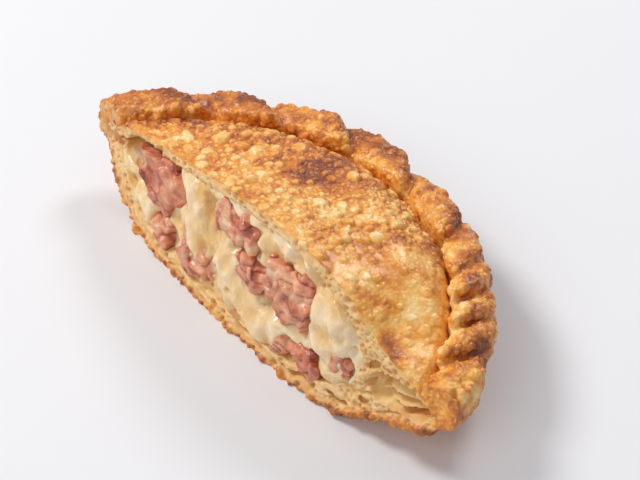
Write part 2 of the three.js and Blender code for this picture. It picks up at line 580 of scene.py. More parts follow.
# Tiny blisters between the modelled ones: round cells with a raised middle.
def makeFizzGroup():
    group, start, end = newGroup(
        "fizz",
        [("Vector", "NodeSocketVector", None), ("Size", "NodeSocketFloat", 900.0)],
        [("Height", "NodeSocketFloat"), ("Cells", "NodeSocketFloat")],
    )
    cells = addNode(group, "ShaderNodeTexVoronoi", feature="SMOOTH_F1")
    link(group, start.outputs["Vector"], cells.inputs["Vector"])
    link(group, start.outputs["Size"], cells.inputs["Scale"])
    cells.inputs["Smoothness"].default_value = 0.35
    cells.inputs["Randomness"].default_value = 1.0
    fall = mathNode(group, "MULTIPLY", cells.outputs["Distance"], 1.7)
    raised = mathNode(group, "SUBTRACT", 1.0, fall, clamp=True)
    link(group, mathNode(group, "POWER", raised, 0.7), end.inputs["Height"])
    link(group, raised, end.inputs["Cells"])
    return group


fizzGroup = makeFizzGroup()


def newMaterial(name):
    material = bpy.data.materials.new(name)
    material.use_nodes = True
    tree = material.node_tree
    shader = next(node for node in tree.nodes if node.type == "BSDF_PRINCIPLED")
    coordinates = addNode(tree, "ShaderNodeTexCoord", (-1200, 0)).outputs["Object"]
    return material, tree, shader, coordinates


def bumped(tree, shader, height, strength, distance):
    bump = addNode(tree, "ShaderNodeBump")
    bump.inputs["Strength"].default_value = strength
    bump.inputs["Distance"].default_value = distance * mm
    link(tree, height, bump.inputs["Height"])
    link(tree, bump.outputs[0], shader.inputs["Normal"])


# How far light goes in, as a share, a colour and a depth in millimetres, and the wet coat on top
def lightAndCoat(shader, finish):
    shader.inputs["Subsurface Weight"].default_value = finish["glow"]
    shader.inputs["Subsurface Radius"].default_value = finish["glowColour"]
    shader.inputs["Subsurface Scale"].default_value = finish["glowDepth"] * mm
    shader.inputs["Coat Weight"].default_value = finish["coat"]
    shader.inputs["Coat Roughness"].default_value = finish["coatRoughness"]


doughFinish = {
    "glow": 0.1,
    "glowColour": (1.0, 0.45, 0.2),
    "glowDepth": 1.2,
    "coat": 0.2,
    "coatRoughness": 0.2,
    "freckles": 0.35,
    "crumbMottle": 0.9,
    "crumbRougher": 0.25,
    "grainHeight": 0.8,
    "bumpStrength": 0.6,
    "bumpDepth": 0.28,
}


def doughMaterial(name, spread, grainSize, fizzSize, fizzAmount):
    material, tree, shader, place = newMaterial(name)
    grain = placeGroup(tree, grainGroup, Vector=place, Size=grainSize)
    fizz = placeGroup(tree, fizzGroup, Vector=place, Size=fizzSize)
    crumbShare = attribute(tree, "crumb")
    skinShare = mathNode(tree, "SUBTRACT", 1.0, crumbShare)
    freckle = centred(tree, fizz.outputs["Cells"], -doughFinish["freckles"] * fizzAmount)
    bake = mathNode(tree, "ADD", attribute(tree, "bake"), freckle)
    skin = placeGroup(tree, skinGroup, Bake=bake, Mottle=grain.outputs["Mottle"], Spread=spread)
    crumbMottle = centred(tree, grain.outputs["Mottle"], doughFinish["crumbMottle"])
    # The crumb's own tone, with painted shade in its pores and slits and towards the underside.
    crumbTone = mathNode(tree, "ADD", attribute(tree, "crumbToneAndShade"), crumbMottle, clamp=True)
    crumb = mixColour(tree, crumbTone, friedTones["crumbPale"], friedTones["crumbDeep"])
    crumb = mixColour(tree, attribute(tree, "inside"), crumb, friedTones["inside"])
    whole = mixColour(tree, crumbShare, skin.outputs["Color"], crumb)
    link(tree, whole, shader.inputs["Base Color"])
    rougher = mathNode(tree, "MULTIPLY", crumbShare, doughFinish["crumbRougher"])
    link(tree, mathNode(tree, "ADD", skin.outputs["Roughness"], rougher), shader.inputs["Roughness"])
    lightAndCoat(shader, doughFinish)
    link(tree, mathNode(tree, "MULTIPLY", skinShare, doughFinish["coat"]), shader.inputs["Coat Weight"])
    fizzHeight = mathNode(tree, "MULTIPLY", fizz.outputs["Height"], fizzAmount)
    fizzHeight = mathNode(tree, "MULTIPLY", fizzHeight, skinShare)
    grainHeight = mathNode(tree, "MULTIPLY", grain.outputs["Height"], doughFinish["grainHeight"])
    height = mathNode(tree, "ADD", fizzHeight, grainHeight)
    bumped(tree, shader, height, doughFinish["bumpStrength"], doughFinish["bumpDepth"])
    return material


# The cut face of the dough. Openings, and the loose sheets inside the largest, are flattened
# balls on the cut: place along it, height, length, thickness, how deep they go, and their tilt.
# Slits run along the dough at a share of its thickness, each with a phase of its own.
cutDough = {
    "openings": [
        (48.6, 14.0, 15.5, 6.8, 9, 6), (43.6, 13.8, 7.0, 6.6, 7, 0), (40.6, 17.6, 3.0, 1.8, 5, -20),
        (39.6, 8.0, 3.2, 1.9, 4, 0), (43.4, 7.6, 2.6, 1.1, 4, 12), (39.8, 12.6, 1.7, 2.2, 4, 0),
        (43.6, 18.4, 3.4, 0.9, 4, 24), (36.0, 4.6, 3.4, 1.3, 3, 4), (54.5, 14.9, 4.0, 1.0, 5, 4),
    ],
    "sheets": [
        (47.6, 12.0, 15, 1.1, 8, -7), (46.6, 14.4, 13, 1.0, 8, 9),
        (44.6, 16.4, 11, 0.9, 8, 16), (43.6, 13.2, 8, 0.9, 8, -26),
    ],
    "sheetsBack": 8.8,
    "thinnest": 1.3,
    "tear": 0.34,
    "tearNoise": [(0.6, 3.6, 21), (0.4, 1.3, 22)],
    "tearReach": 1.8,
    "wander": [(0.9, 6, 51), (0.25, 2.0, 55)],
    "gritNoise": [(0.6, 1.5, 52), (0.4, 0.8, 53)],
    "layerGap": 1.25,
    "layerDepth": 0.035,
    "grit": 0.2,
    "slits": [(0.14, 0.0), (0.3, 1.7)],
    "slitDepth": 1.1,
    "slitWidth": 0.03,
}


def cutOvals(ovals, back=0.0):
    tools = []
    for x, z, length, height, deep, tilt in ovals:
        unpick()
        bpy.ops.mesh.primitive_uv_sphere_add(segments=20, ring_count=12, radius=0.5 * mm)
        tool = newest("oval")
        place = Matrix.Translation(Vector((x, float(cutLine(x, z)) + back, z)) * mm)
        turn = Matrix.Rotation(math.radians(tilt), 4, "Y")
        tool.data.transform(place @ turn @ Matrix.Diagonal((length, 2 * deep, height, 1)))
        points = readPoints(tool)
        points += 0.3 * softNoise(points, 1.8, 56)[:, None]
        points[:, 2] += 0.7 * softNoise(points * np.array([1.0, 1.0, 0.0]), 4.5, 59)
        skin = skinHeight(points, topHeight)
        points[:, 2] = np.minimum(points[:, 2], skin - cutDough["thinnest"])
        writePoints(tool, points)
        tools.append(tool)
    return tools


def tornEdge(points):
    behind = np.maximum(behindCut(points), 0)
    tear = noiseSum(points, cutDough["tearNoise"])
    return cutDough["tear"] * tear * np.exp(-behind / cutDough["tearReach"])


def cutRelief(points, depth):
    wander = noiseSum(points, cutDough["wander"])
    layers = np.sin(2 * math.pi * (depth / cutDough["layerGap"] + wander))
    grit = noiseSum(points, cutDough["gritNoise"])
    relief = cutDough["layerDepth"] * layers + cutDough["grit"] * grit
    floor = skinHeight(points, bottomHeight)
    roof = skinHeight(points, topHeight)
    level = (points[:, 2] - floor) / np.maximum(roof - floor, 2)
    thick = smoothStep(points[:, 0], 35, 41) * (1 - smoothStep(points[:, 0], 52, 58))
    slit = np.zeros(len(points))
    for height, phase in cutDough["slits"]:
        path = height + 0.05 * np.sin(points[:, 0] * 0.42 + phase) + 0.03 * softNoise(points, 3.2, 57)
        width = cutDough["slitWidth"] * (0.75 + 0.6 * softNoise(points, 4.5, 58))
        slit = np.maximum(slit, np.exp(-(((level - path) / np.maximum(width, 0.012)) ** 2)))
    return relief, layers, slit * thick


# The top sheet. Browned and paler patches are places with a radius and a strength, and the big
# blisters are places with a radius. The hollow is a flattened ball like those of the cut.
topSheet = {
    "voxel": 0.27,
    "facesKept": 0.66,
    "blisters": 1100,
    "blisterRadii": (0.45, 1.9),
    "blisterHeight": 0.55,
    "swell": 0.45,
    "swellNoise": [(0.5, 15, 11), (0.3, 6.5, 12), (0.16, 2.4, 13)],
    "calm": (10, 24),
    "pores": 110,
    "poreRadii": (0.3, 0.95),
    "overhang": 1.8,
    "overhangRadius": 55,
    "tallest": 31.5,
    "bake": 0.42,
    "hollow": (-40.5, 19.6, 17, 6.0, 9, -20),
    "browned": [
        (-45, 11, 9, 0.34), (-9, 27, 8, 0.34), (-4, 18, 5, 0.24), (20, 8, 5, 0.22), (42, 1, 2.4, 0.34),
        (49, 3, 4, 0.24), (25, 27, 8, 0.18), (31, 12, 4, 0.12), (-22, 28, 7, 0.12), (-26, 19, 9, 0.14),
    ],
    "paler": [
        (8, 0, 9, 0.08), (-6, 3, 8, 0.07), (34, -2, 6, 0.05), (12, 16, 7, 0.08),
        (2, 10, 6, 0.1), (38, 12, 7, 0.08), (30, 4, 6, 0.04),
    ],
    "bigBlisters": [
        (-28.5, 11, 2.2), (-31.8, 18.8, 1.9), (-19.3, 13.7, 2.0), (-14.3, 21.3, 2.0), (1, 24, 1.9),
        (27, 2.5, 1.6), (20, 14.8, 1.9), (16.2, -1.5, 1.6), (-22.4, 20, 2.2), (-24.8, 4.5, 1.9),
        (6.2, 11.3, 1.7), (-33, 5.1, 1.8), (-26, 15.5, 1.5), (-30, 14.6, 1.2), (-17.5, 17.5, 1.4),
        (-23, 9, 1.4), (-19, 23, 1.5), (-12, 14, 1.3), (-27.6, 22.5, 1.3), (-10, 8, 1.3),
        (-36, 10.5, 1.1), (-16, 8, 1.2),
    ],
}


def patches(points, places):
    total = np.zeros(len(points))
    for x, y, radius, strength in places:
        reach = np.hypot(points[:, 0] - x, points[:, 1] - y) / radius
        total += strength * np.exp(-reach**2)
    return total


# The dome's shoulder swells out over the rope at the fuller end.
def swellShoulder(points):
    radius = fromMiddle(points)
    away = points[:, :2] + np.array([0, pie["offset"]])
    above = points[:, 2] > pie["seamHeight"] + 1
    near = np.exp(-(((radius - topSheet["overhangRadius"]) / 3) ** 2))
    push = near * smoothStep(points[:, 0], 5, 30) * above
    points[:, :2] += away * (topSheet["overhang"] * push / np.maximum(radius, 1))[:, None]
    points[:, 2] += 0.5 * topSheet["overhang"] * push
    return points


def carvedTop():
    seam = pie["seamHeight"]
    edge = pie["pillowRadius"] + 2.5
    radii = [edge * math.sin(share * math.pi / 2) for share in np.linspace(1, 0, 26)]
    profile = [(0, seam - 0.4), (edge - 0.6, seam - 0.4), (edge, seam + 0.4)]
    profile += [(radius, float(topHeight(radius))) for radius in radii]
    sheet = spunBody("topCrust", profile)
    writePoints(sheet, swellShoulder(settled(readPoints(sheet))))
    carve(sheet, pocketTool(-0.5, False))
    carve(sheet, knifeTool())
    for oval in cutOvals([*cutDough["openings"], topSheet["hollow"]]):
        carve(sheet, oval)
    remesh(sheet, topSheet["voxel"])
    points = readPoints(sheet)
    within = skinHeight(points, topHeight) - points[:, 2] > 1.5
    thinOut(sheet, within & farIn(points), topSheet["facesKept"])
    return sheet


def makeTopSheet():
    sheet = carvedTop()
    points = readPoints(sheet)
    normals = readNormals(sheet)
    behind = behindCut(points)
    depth = skinHeight(points, topHeight) - points[:, 2]
    outer = smoothStep(1.1 - depth, 0, 0.7) * smoothStep(normals[:, 2], 0.05, 0.3)
    cutFace = cutShare(points, normals)
    inside = smoothStep(behind, 0.5, 2.2) * smoothStep(depth, 1.2, 2.0)

    # slow unevenness first, then blisters, then the torn edge at the cut
    lumps = noiseSum(points, topSheet["swellNoise"])
    points += normals * (topSheet["swell"] * lumps * outer)[:, None]
    density = 0.3 + 0.7 * smoothStep(layeredNoise(points, 15, 31), -0.5, 0.4)
    calm = smoothStep(points[:, 0] - 0.4 * points[:, 1], *topSheet["calm"])  # fewer blisters there
    density *= 1 - 0.88 * calm
    weight = outer * density * smoothStep(behind, 0.2, 1.2)
    big = nearestSpots(points, outer, topSheet["bigBlisters"], 43)
    spots = scatterSpots(points, weight, topSheet["blisters"], topSheet["blisterRadii"], 0.72, 41, big)
    height, dome, ring, tone = spotFields(points, spots, 42)
    raised = height * topSheet["blisterHeight"] - 0.05 * ring + 0.12 * softNoise(points, 1.6, 47)
    points += normals * (raised * outer * (1 - 0.6 * calm))[:, None]
    points[:, 1] += tornEdge(points)
    relief, layers, slit = cutRelief(points, depth)
    web = cutFace * smoothStep(depth, 0.5, 1.0) * (0.15 + 0.85 * smoothStep(points[:, 0], 22, 32))
    pores = scatterSpots(points, web, topSheet["pores"], topSheet["poreRadii"], 0.95, 45)
    poreHeight, poreDome = spotFields(points, pores, 46)[:2]
    rounded = 0.45 * np.exp(-np.abs(depth) / 0.5)
    points[:, 1] += (poreHeight + cutDough["slitDepth"] * slit - relief + rounded) * cutFace
    tall = points[:, 2] > topSheet["tallest"]
    points[tall, 2] = topSheet["tallest"] + 0.6 * (points[tall, 2] - topSheet["tallest"])
    writePoints(sheet, points)

    bake = topSheet["bake"] + 0.16 * layeredNoise(points, 13, 61)
    bake += 0.13 * softNoise(points, 3.2, 62)
    bake += 0.08 * softNoise(points, 1.2, 63)
    bake += patches(points, topSheet["browned"]) - patches(points, topSheet["paler"])
    # Painted shade: the first term darkens a thin line along the crease where the dome meets the rope, on top
    # of its browning.
    bake += 0.4 * smoothStep(fromMiddle(points), 58, 59.8) + 0.06 * np.exp(-np.maximum(behind, 0) / 6)
    # Painted highlight: the dome's shoulder at the fuller end is painted paler by the last term of the next
    # line.
    shoulder = np.exp(-(((fromMiddle(points) - 55) / 3.4) ** 2)) * smoothStep(points[:, 0], 10, 30)
    bake += (ring * 0.17 - dome * 0.14 - tone * 0.19) * (1 - 0.6 * calm) - 0.14 * shoulder
    bake += 0.14 * calm * softNoise(points, 4.5, 64)
    bake = np.where(depth > 0.9, 0.25, bake)
    paint(sheet, "bake", bake)
    paint(sheet, "crumb", np.maximum(cutFace * smoothStep(depth, 0.15, 0.5), smoothStep(depth, 0.7, 1.1)))
    paint(sheet, "inside", inside)
    # Painted shade: the crumb is deeper in tone in the pores and slits of the cut.
    paint(sheet, "crumbToneAndShade", 0.3 - 0.06 * layers + 0.5 * slit + 0.6 * poreDome + 0.2 * softNoise(points, 2.2, 65))
    return sheet


# The rope edge. Each fold has the middle and the span of its stretch of the edge, in degrees
# from the back of the round. Its length is the first of "length" and the second times its stretch.
ropeEdge = {
    "roughVoxel": 0.42,
    "voxel": 0.27,
    "facesKept": 0.92,
    "folds": [
        (-59.5, 19.5), (-42.4, 16.4), (-25.4, 17.6), (-8, 16.8), (9.8, 18.6),
        (25.6, 13), (34.8, 8), (42.2, 7.4), (49.6, 8), (61.5, 18),
    ],
    "circle": 63.0,
    "length": (3.4, 1.14),
    "width": 10.1,
    "height": 9.6,
    "blunt": 0.42,
    "slant": 0.95,
    "climb": 2.1,
    "rise": 1.2,
    "coreCircle": 62.4,
    "coreSize": (7.6, 6.6),
    "blisters": 640,
    "blisterRadii": (0.45, 1.9),
    "blisterHeight": 0.44,
    "grit": 0.09,
    "lumps": [(0.5, 7, 111), (0.55, 3.4, 112), (0.3, 1.7, 113)],
    "lumpHeight": 0.6,
    "valleyDepth": 0.6,
    "bake": 0.39,
    "bakeMore": 0.25,
}


def makeFold():
    unpick()
    bpy.ops.mesh.primitive_uv_sphere_add(segments=32, ring_count=20, radius=0.5 * mm)
    fold = newest("fold")
    points = readPoints(fold)
    block = 0.5 / np.abs(points).max(axis=1)
    share = ropeEdge["blunt"]
    writePoints(fold, points * (1 - share + share * block)[:, None])
    return fold


def foldPlaces():
    for index, (middle, span) in enumerate(ropeEdge["folds"]):
        angle = math.radians(middle)
        least, more = ropeEdge["length"]
        uneven = 1 + 0.05 * math.sin(index * 2.4 + 0.5)
        length = least + more * math.radians(span) * ropeEdge["circle"]
        size = np.array([length, ropeEdge["width"] * uneven, ropeEdge["height"] * uneven])
        place = np.array([
            ropeEdge["circle"] * math.sin(angle),
            ropeEdge["circle"] * math.cos(angle) - pie["offset"],
            pie["seamHeight"] + ropeEdge["rise"] + 0.5 * math.sin(index * 1.3),
        ])
        pitch = -math.asin(2 * ropeEdge["climb"] / length)
        turn = Matrix.Rotation(-angle, 3, "Z") @ Matrix.Rotation(pitch, 3, "Y")
        yield place, np.array(turn), size


# A fold lies along the edge, with slanting ends, and bends round with it.
def laidFold(points, place, turn, size):
    along, outward, up = (points * size).T
    along = along - ropeEdge["slant"] * outward
    bent = outward - along**2 / (2 * ropeEdge["circle"])
    return np.stack([along, bent, up], 1) @ turn.T + place


# The same way back: from a place on the rope to one on the fold, at 1 on the fold's skin.
def withinFold(points, place, turn, size):
    along, bent, up = ((points - place) @ turn).T
    outward = bent + along**2 / (2 * ropeEdge["circle"])
    return np.stack([along + ropeEdge["slant"] * outward, outward, up], 1) / (size / 2)


def ropeCore():
    circle, (width, height) = ropeEdge["coreCircle"], ropeEdge["coreSize"]
    profile = []
    for step in range(19):
        turn = step / 18 * 2 * math.pi
        level = pie["seamHeight"] + ropeEdge["rise"] + 0.5 * height * math.sin(turn)
        profile.append((circle + 0.5 * width * math.cos(turn), level))
    return spunBody("core", profile)


def carvedRope():
    thick = pie["seamThickness"] / 2
    seam = pie["seamHeight"]
    outer = pie["seamRadius"] + 0.5
    inner = ropeEdge["coreCircle"] - 5
    profile = [(inner, seam - thick), (outer - 2, seam - thick), (outer, seam - 0.8), (outer, seam + 0.8),
               (outer - 2, seam + thick), (inner, seam + thick), (inner, seam - thick)]
    rope = spunBody("ropeEdge", profile)
    pattern = makeFold()
    rolls = [ropeCore()]
    for place, turn, size in foldPlaces():
        roll = pattern.copy()
        roll.data = pattern.data.copy()
        bpy.context.scene.collection.objects.link(roll)
        writePoints(roll, laidFold(readPoints(roll), place, turn, size))
        rolls.append(roll)
    bpy.data.objects.remove(pattern)
    rope = fuse([rope, *rolls])
    writePoints(rope, settled(readPoints(rope)))
    remesh(rope, ropeEdge["roughVoxel"], 1)
    carve(rope, knifeTool())
    for oval in cutOvals(cutDough["openings"][:1]):
        carve(rope, oval)
    remesh(rope, ropeEdge["voxel"])
    points = readPoints(rope)
    buried = (fromMiddle(points) < 59) & (points[:, 2] < skinHeight(points, topHeight) - 0.3)
    buried &= points[:, 2] > skinHeight(points, bottomHeight) + 0.3
    thinOut(rope, buried, ropeEdge["facesKept"])
    return rope


# How deep each point lies between two folds, and how near it is to the raised end and to the
# inner side of the fold that it belongs to
def foldShares(points):
    nearest = np.full(len(points), 9.0)
    second = np.full(len(points), 9.0)
    own = np.zeros((len(points), 3))
    for place, turn, size in foldPlaces():
        local = withinFold(points, place, turn, size)
        reach = (np.abs(local) ** 2.6).sum(axis=1) ** (1 / 2.6)
        second = np.minimum(second, np.maximum(nearest, reach))
        own = np.where((reach < nearest)[:, None], local, own)
        nearest = np.minimum(nearest, reach)
    valley = 1 - smoothStep(second - nearest, 0.0, 0.32)
    return valley, smoothStep(own[:, 0], 0.1, 0.8), smoothStep(-own[:, 1], 0.1, 0.7)


def makeRope():
    rope = carvedRope()
    points = readPoints(rope)
    normals = readNormals(rope)
    cutFace = cutShare(points, normals)
    valley, ridge, inner = foldShares(points)
    lumps = noiseSum(points, ropeEdge["lumps"])
    sunken = ropeEdge["lumpHeight"] * lumps - ropeEdge["valleyDepth"] * valley
    points += normals * (sunken * (1 - cutFace))[:, None]
    points[:, 1] += tornEdge(points)
    upward = smoothStep(normals[:, 2], -0.2, 0.4)
    weight = (1 - cutFace) * (0.55 + 0.45 * upward) * (1 - 0.75 * valley)
    spots = scatterSpots(points, weight, ropeEdge["blisters"], ropeEdge["blisterRadii"], 0.8, 141)
    height, dome, ring, tone = spotFields(points, spots, 142)
    grit = ropeEdge["grit"] * softNoise(points, 0.95, 143)
    raised = height * ropeEdge["blisterHeight"] - 0.06 * ring + grit
    points += normals * (raised * (1 - cutFace))[:, None]
    points[:, 1] -= 0.25 * softNoise(points, 0.9, 152) * cutFace
    points[:, 2] = np.maximum(points[:, 2], 0.02)
    writePoints(rope, points)

    bake = ropeEdge["bake"] + ropeEdge["bakeMore"] * smoothStep(-points[:, 0], -25, 22)
    bake += 0.2 * layeredNoise(points, 9, 161) + 0.16 * softNoise(points, 2.4, 162)
    # Painted shade: darker in the valleys between folds, and on faces that turn downward (the last term of
    # the next line). The browner fold ends are the dough's own colour.
    bake += 0.19 * ridge * (1 - inner) + 0.12 * valley * (1 - 1.6 * inner) - 0.12 * inner
    bake += ring * 0.14 - dome * 0.08 - tone * 0.11 - 0.5 * grit + 0.12 * smoothStep(-normals[:, 2], 0.0, 0.6)
    paint(rope, "bake", bake)
    bare = 0.1 - points[:, 0] / 90 + 0.7 * softNoise(points, 2.6, 172)
    paint(rope, "crumb", 0.6 * cutFace * smoothStep(bare, 0, 0.8))
    paint(rope, "inside", np.zeros(len(points)))
    paint(rope, "crumbToneAndShade", 0.5 + 0.3 * softNoise(points, 1.5, 171))
    return rope


# The bottom sheet. Its slits are given like the openings of the cut.
bottomSheet = {
    "voxel": 0.31,
    "facesKept": 0.63,
    "blisters": 260,
    "blisterRadii": (0.5, 2.2),
    "blisterHeight": 0.2,
    "pores": 170,
    "poreRadii": (0.35, 1.25),
    "poreDepth": 0.9,
    "crumbs": 190,
    "crumbSize": (0.45, 1.2),
    "slits": [
        (-14, 2.6, 15, 1.1, 3.5, 0), (6, 2.3, 13, 1.2, 3.5, 2), (22, 2.6, 11, 1.3, 4, -2),
        (-31, 4.0, 8, 1.1, 3, 8), (33, 4.0, 7, 1.2, 4, -8),
    ],
    "bake": 0.54,
}


# Crisp crumbs along the lower edge of the cut, most at the fuller end
def edgeCrumbs():
    draw = np.random.default_rng(271)
    small, large = bottomSheet["crumbSize"]
    unpick()
    bpy.ops.mesh.primitive_ico_sphere_add(subdivisions=2, radius=mm)
    pattern = newest("crumb")
    bits = []
    for index in range(bottomSheet["crumbs"]):
        x = draw.uniform(-54, 57) if index % 3 else draw.uniform(36, 58)
        size = small + (large - small) * draw.random() ** 2
        z = 0.0
        for step in range(3):  # the lower edge shifts with the height it is cut at
            spot = np.array([[x, float(cutLine(x, z)), 0.0]])
            z = float(skinHeight(spot, bottomHeight)[0])
        z += 0.4 * size + 0.5 * draw.random()
        y = float(cutLine(x, z)) + size * draw.uniform(-0.35, 0.3)
        bit = pattern.copy()
        bit.data = pattern.data.copy()
        bpy.context.scene.collection.objects.link(bit)
        shape = Matrix.Diagonal((size * draw.uniform(0.8, 1.5), size, size * 0.8, 1))
        turn = Matrix.Rotation(draw.random() * 3, 4, "Y")
        bit.data.transform(Matrix.Translation(Vector((x, y, z)) * mm) @ turn @ shape)
        bits.append(bit)
    bpy.data.objects.remove(pattern)
    return bits


def carvedBottom():
    seam = pie["seamHeight"]
    edge = pie["seamRadius"] - 0.8
    radii = [edge * math.sin(share * math.pi / 2) for share in np.linspace(0, 1, 26)]
    profile = [(radius, float(bottomHeight(radius))) for radius in radii]
    profile += [(edge - 0.4, seam + 0.3), (0, seam + 0.3)]
    sheet = spunBody("bottomCrust", profile)
    writePoints(sheet, settled(readPoints(sheet)))
    carve(sheet, pocketTool(0, False))
    carve(sheet, knifeTool())
    for oval in cutOvals([*cutDough["openings"], *bottomSheet["slits"]]):
        carve(sheet, oval)
    sheet = fuse([sheet, *cutOvals(cutDough["sheets"], cutDough["sheetsBack"]), *edgeCrumbs()])
    remesh(sheet, bottomSheet["voxel"])
    points = readPoints(sheet)
    within = points[:, 2] - skinHeight(points, bottomHeight) > 1.9
    flat = (points[:, 2] < 0.1) & (behindCut(points) > 2)
    thinOut(sheet, within & farIn(points) | flat, bottomSheet["facesKept"])
    return sheet


def makeBottomSheet():
    sheet = carvedBottom()
    points = readPoints(sheet)
    normals = readNormals(sheet)
    behind = behindCut(points)
    depth = points[:, 2] - skinHeight(points, bottomHeight)
    under = smoothStep(-normals[:, 2], 0.05, 0.4) * smoothStep(1.4 - depth, 0, 0.9)
    cutFace = cutShare(points, normals)
    inside = smoothStep(behind, 0.5, 2.2) * smoothStep(depth, 1.6, 2.6)

    points[:, 1] += tornEdge(points)
    spots = scatterSpots(points, under, bottomSheet["blisters"], bottomSheet["blisterRadii"], 0.9, 241)
    height, dome, ring, tone = spotFields(points, spots, 242)
    lift = height * bottomSheet["blisterHeight"] - 0.05 * ring + 0.2 * softNoise(points, 5, 243)
    points += normals * (lift * under * smoothStep(points[:, 2], 0.1, 1.6))[:, None]

    thick = smoothStep(points[:, 0], 32, 40) + 0.25 * smoothStep(-points[:, 0], 48, 54)
    web = cutFace * np.clip(thick + 0.12, 0, 1)
    pores = scatterSpots(points, web, bottomSheet["pores"], bottomSheet["poreRadii"], 0.95, 251)
    poreHeight, poreDome = spotFields(points, pores, 252)[:2]
    points[:, 1] += poreHeight * bottomSheet["poreDepth"] * cutFace
    relief, layers, slit = cutRelief(points, depth)
    points[:, 1] += (cutDough["slitDepth"] * slit - relief) * cutFace * (1 - poreDome)
    points[:, 2] = np.maximum(points[:, 2], 0.0)
    writePoints(sheet, points)

    crumbs = smoothStep(-behind, 0.15, 0.5) * smoothStep(3.4 - depth, 0, 1)
    crisp = smoothStep(1.5 - depth + 0.7 * softNoise(points, 2, 262), 0, 0.6)
    bake = bottomSheet["bake"] + 0.18 * layeredNoise(points, 11, 261)
    bake = bake + ring * 0.1 - dome * 0.12 - tone * 0.1
    bake += (0.08 + 0.14 * smoothStep(points[:, 0], -10, 30)) * smoothStep(1.5 - behind, 0, 1)
    bake += 0.3 * crumbs * softNoise(points, 1.6, 264)
    paint(sheet, "bake", bake)
    deep = smoothStep(depth + 0.4 * softNoise(points, 2.2, 263), 0.5, 1.2)
    paint(sheet, "crumb", np.maximum(deep, cutFace * (1 - 0.9 * crisp)) * (1 - 0.85 * crumbs))
    paint(sheet, "inside", inside)
    # Painted shade: deeper crumb tone in the pores and slits. Towards the underside it is partly crisper
    # crumb and partly painted shade.
    crumbToneAndShade = 0.3 - 0.2 * layers + 0.6 * poreDome + 0.5 * slit
    paint(sheet, "crumbToneAndShade", crumbToneAndShade + 0.5 * smoothStep(3 - depth, 0, 2.6))
    return sheet


topSkin = doughMaterial("friedTop", 0.36, 1100.0, 1150.0, 0.42)
ropeSkin = doughMaterial("friedRope", 0.42, 1300.0, 1250.0, 0.65)
underSkin = doughMaterial("friedUnder", 0.36, 1000.0, 1000.0, 0.45)

topCrust = makeTopSheet()
finishPiece(topCrust, ["crust"], topSkin)
rope = makeRope()
finishPiece(rope, ["crust"], ropeSkin)
bottomCrust = makeBottomSheet()
finishPiece(bottomCrust, ["crust"], underSkin)


# The ham pieces where they meet the cut: place along it, height, width, tall
hamPlaces = [
    (-32.6, 16.4, 20, 13.6), (-28.5, 6.3, 10, 5.6), (-15.5, 7.8, 13, 7.2), (-3, 22.5, 16.5, 7),
    (3.6, 15.8, 11, 7.2), (16, 17.6, 19.5, 12.8), (19.5, 6.4, 21, 4.6), (33, 12, 8, 4.4),
]

# The cheese, sunk and melted round the ham. Flows hang down the cut: place along it, height,
# half width, half height, how far they stand forward, and how far the foot strays to the right.
cheese = {
    "voxel": 0.34,
    "flows": [
        (-17.8, 15.5, 5.4, 11, 2.0, 3), (-3, 11.5, 7.5, 8, 1.9, 5), (28.5, 18, 6.2, 8.5, 2.4, 1),
        (-8, 19, 4.5, 5, 1.2, 0), (-38, 6.5, 5, 3.2, 0.9, 0), (9, 7.5, 7, 3.6, 1.3, 2),
        (31, 8, 6, 3.6, 1.0, 0), (-46, 13, 4.5, 4.5, 0.5, 0), (8, 24, 5, 3, 0.8, 0),
    ],
    "hamRecess": 1.7,
    "hollow": (-42, 17.6, 17, 8.4, 12, -18),
    "holes": 90,
    "holeRadii": (0.35, 1.1),
    "holeDepth": 1.2,
    # From cream to deep yellow. The deeper end also serves as painted shade.
    "tones": [
        (0.0, colour(250, 224, 184)),
        (0.35, colour(246, 212, 162)),
        (0.7, colour(236, 192, 120)),
        (1.0, colour(212, 152, 80)),
    ],
    "glow": 0.35,
    "glowColour": (1.0, 0.6, 0.3),
    "glowDepth": 1.8,
    "coat": 0.5,
    "coatRoughness": 0.14,
}


def cheeseMaterial():
    material, tree, shader, place = newMaterial("meltedCheese")
    grain = placeGroup(tree, grainGroup, Vector=place, Size=420.0)
    spread = centred(tree, grain.outputs["Mottle"], 0.9)
    # The attribute named hollow holds the cheese's own tone together with painted shade and painted light.
    tone = mathNode(tree, "ADD", attribute(tree, "hollow"), spread, clamp=True)
    link(tree, ramp(tree, tone, cheese["tones"]), shader.inputs["Base Color"])
    rough = mathNode(tree, "ADD", mathNode(tree, "MULTIPLY", grain.outputs["Mottle"], 0.3), 0.05)
    link(tree, rough, shader.inputs["Roughness"])
    lightAndCoat(shader, cheese)
    shader.inputs["Specular IOR Level"].default_value = 0.6
    wrinkle = addNode(tree, "ShaderNodeMapping")
    wrinkle.inputs["Scale"].default_value = (1.0, 1.0, 0.35)
    link(tree, place, wrinkle.inputs["Vector"])
    melted = noiseNode(tree, wrinkle.outputs[0], 520.0, 3, 0.6, 1.0)
    fine = mathNode(tree, "MULTIPLY", grain.outputs["Height"], 0.5)
    bumped(tree, shader, mathNode(tree, "ADD", melted, fine), 0.6, 0.6)
    return material


# 1 in the middle of a rounded oval on the cut, down to 0 at its outline
def ovalField(points, x, z, halfWidth, halfHeight, stray=0.0):
    down = (points[:, 2] - z) / halfHeight
    across = (points[:, 0] - x + stray * np.clip(down, -1, 1) * 0.5) / halfWidth
    return np.maximum(1 - np.abs(across) ** 2.6 - np.abs(down) ** 2.6, 0)


